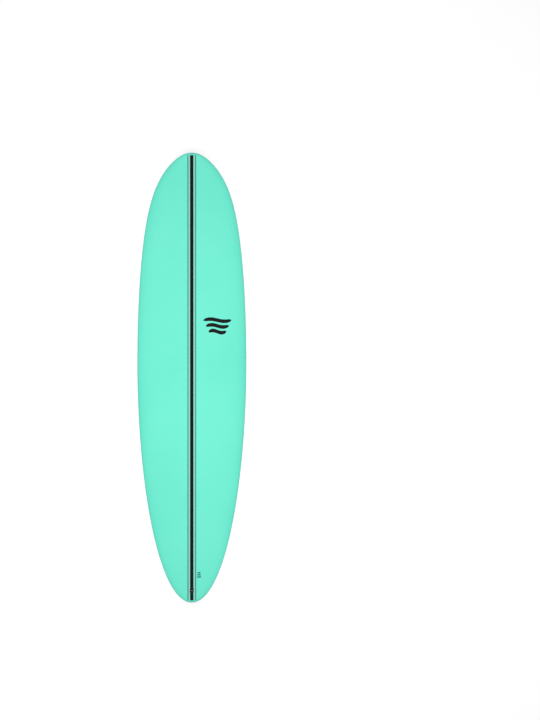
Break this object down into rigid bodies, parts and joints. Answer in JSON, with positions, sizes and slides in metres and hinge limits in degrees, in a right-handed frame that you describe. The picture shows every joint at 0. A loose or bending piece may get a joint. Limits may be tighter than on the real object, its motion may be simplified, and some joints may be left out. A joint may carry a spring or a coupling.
{
  "type": "surfboard",
  "caption": "Soft-top surfboard with a rounded nose and tail, foam deck, slick bottom, fin boxes with grub screws and rollers, and a leash plug.",
  "frame": {"origin": "on the ground under the middle of the board's length and width, the board lying on its bottom", "axes": "+Y to the nose, +X to the right hand of someone facing the nose, +Z out of the deck"},
  "size_m": [0.5547, 2.286, 0.1404],
  "materials": {
    "deck_foam": "matte",
    "bottom_slick": "gloss",
    "core_foam": "matte",
    "dense_foam": "matte",
    "stringer_wood": "matte",
    "fin_box": "matte",
    "leash_plug": "satin",
    "steel": "satin",
    "spring_steel": "satin",
    "screw_steel": "satin"
  },
  "bodies": {
    "board": {"bottom_slick": "bottom_slick", "core_inner_left": "core_foam", "core_inner_right": "core_foam", "core_left": "core_foam", "core_right": "core_foam", "deck_skin": "deck_foam", "fin_block_centre": "dense_foam", "fin_block_left": "dense_foam", "fin_block_right": "dense_foam", "fin_box_centre": "fin_box", "fin_box_left": "fin_box", "fin_box_right": "fin_box", "leash_bar": "steel", "leash_block": "dense_foam", "leash_plug": "leash_plug", "roller_spring_centre": "spring_steel", "roller_spring_left": "spring_steel", "roller_spring_right": "spring_steel", "stringer_centre": "stringer_wood", "stringer_left": "stringer_wood", "stringer_right": "stringer_wood"},
    "roller_left": {"fin_roller_left": "steel"},
    "screw_left": {"grub_screw_left": "screw_steel"},
    "roller_centre": {"fin_roller_centre": "steel"},
    "screw_centre": {"grub_screw_centre": "screw_steel"},
    "roller_right": {"fin_roller_right": "steel"},
    "screw_right": {"grub_screw_right": "screw_steel"}
  },
  "joints": [
    {"name": "roller_slide_left", "type": "slide", "parent": "board", "child": "roller_left", "axis": [0.0729, 0.9933, -0.09], "range_m": [0, 0.0025], "stiffness_N_per_m": 1500, "springref_m": -0.001, "deforming": ["roller_spring_left"]},
    {"name": "grub_screw_turn_left", "type": "hinge", "parent": "board", "child": "screw_left", "pos_m": [-0.13879, -0.82465, 0.0337], "axis": [-0.0865, -0.6403, -0.7633], "continuous": true},
    {"name": "roller_slide_centre", "type": "slide", "parent": "board", "child": "roller_centre", "axis": [0, 0.9942, -0.1073], "range_m": [0, 0.0025], "stiffness_N_per_m": 1500, "springref_m": -0.001, "deforming": ["roller_spring_centre"]},
    {"name": "grub_screw_turn_centre", "type": "hinge", "parent": "board", "child": "screw_centre", "pos_m": [0, -1.0297, 0.04816], "axis": [0, -0.6582, -0.7529], "continuous": true},
    {"name": "roller_slide_right", "type": "slide", "parent": "board", "child": "roller_right", "axis": [-0.0729, 0.9933, -0.09], "range_m": [0, 0.0025], "stiffness_N_per_m": 1500, "springref_m": -0.001, "deforming": ["roller_spring_right"]},
    {"name": "grub_screw_turn_right", "type": "hinge", "parent": "board", "child": "screw_right", "pos_m": [0.13879, -0.82465, 0.0337], "axis": [0.0865, -0.6403, -0.7633], "continuous": true}
  ]
}
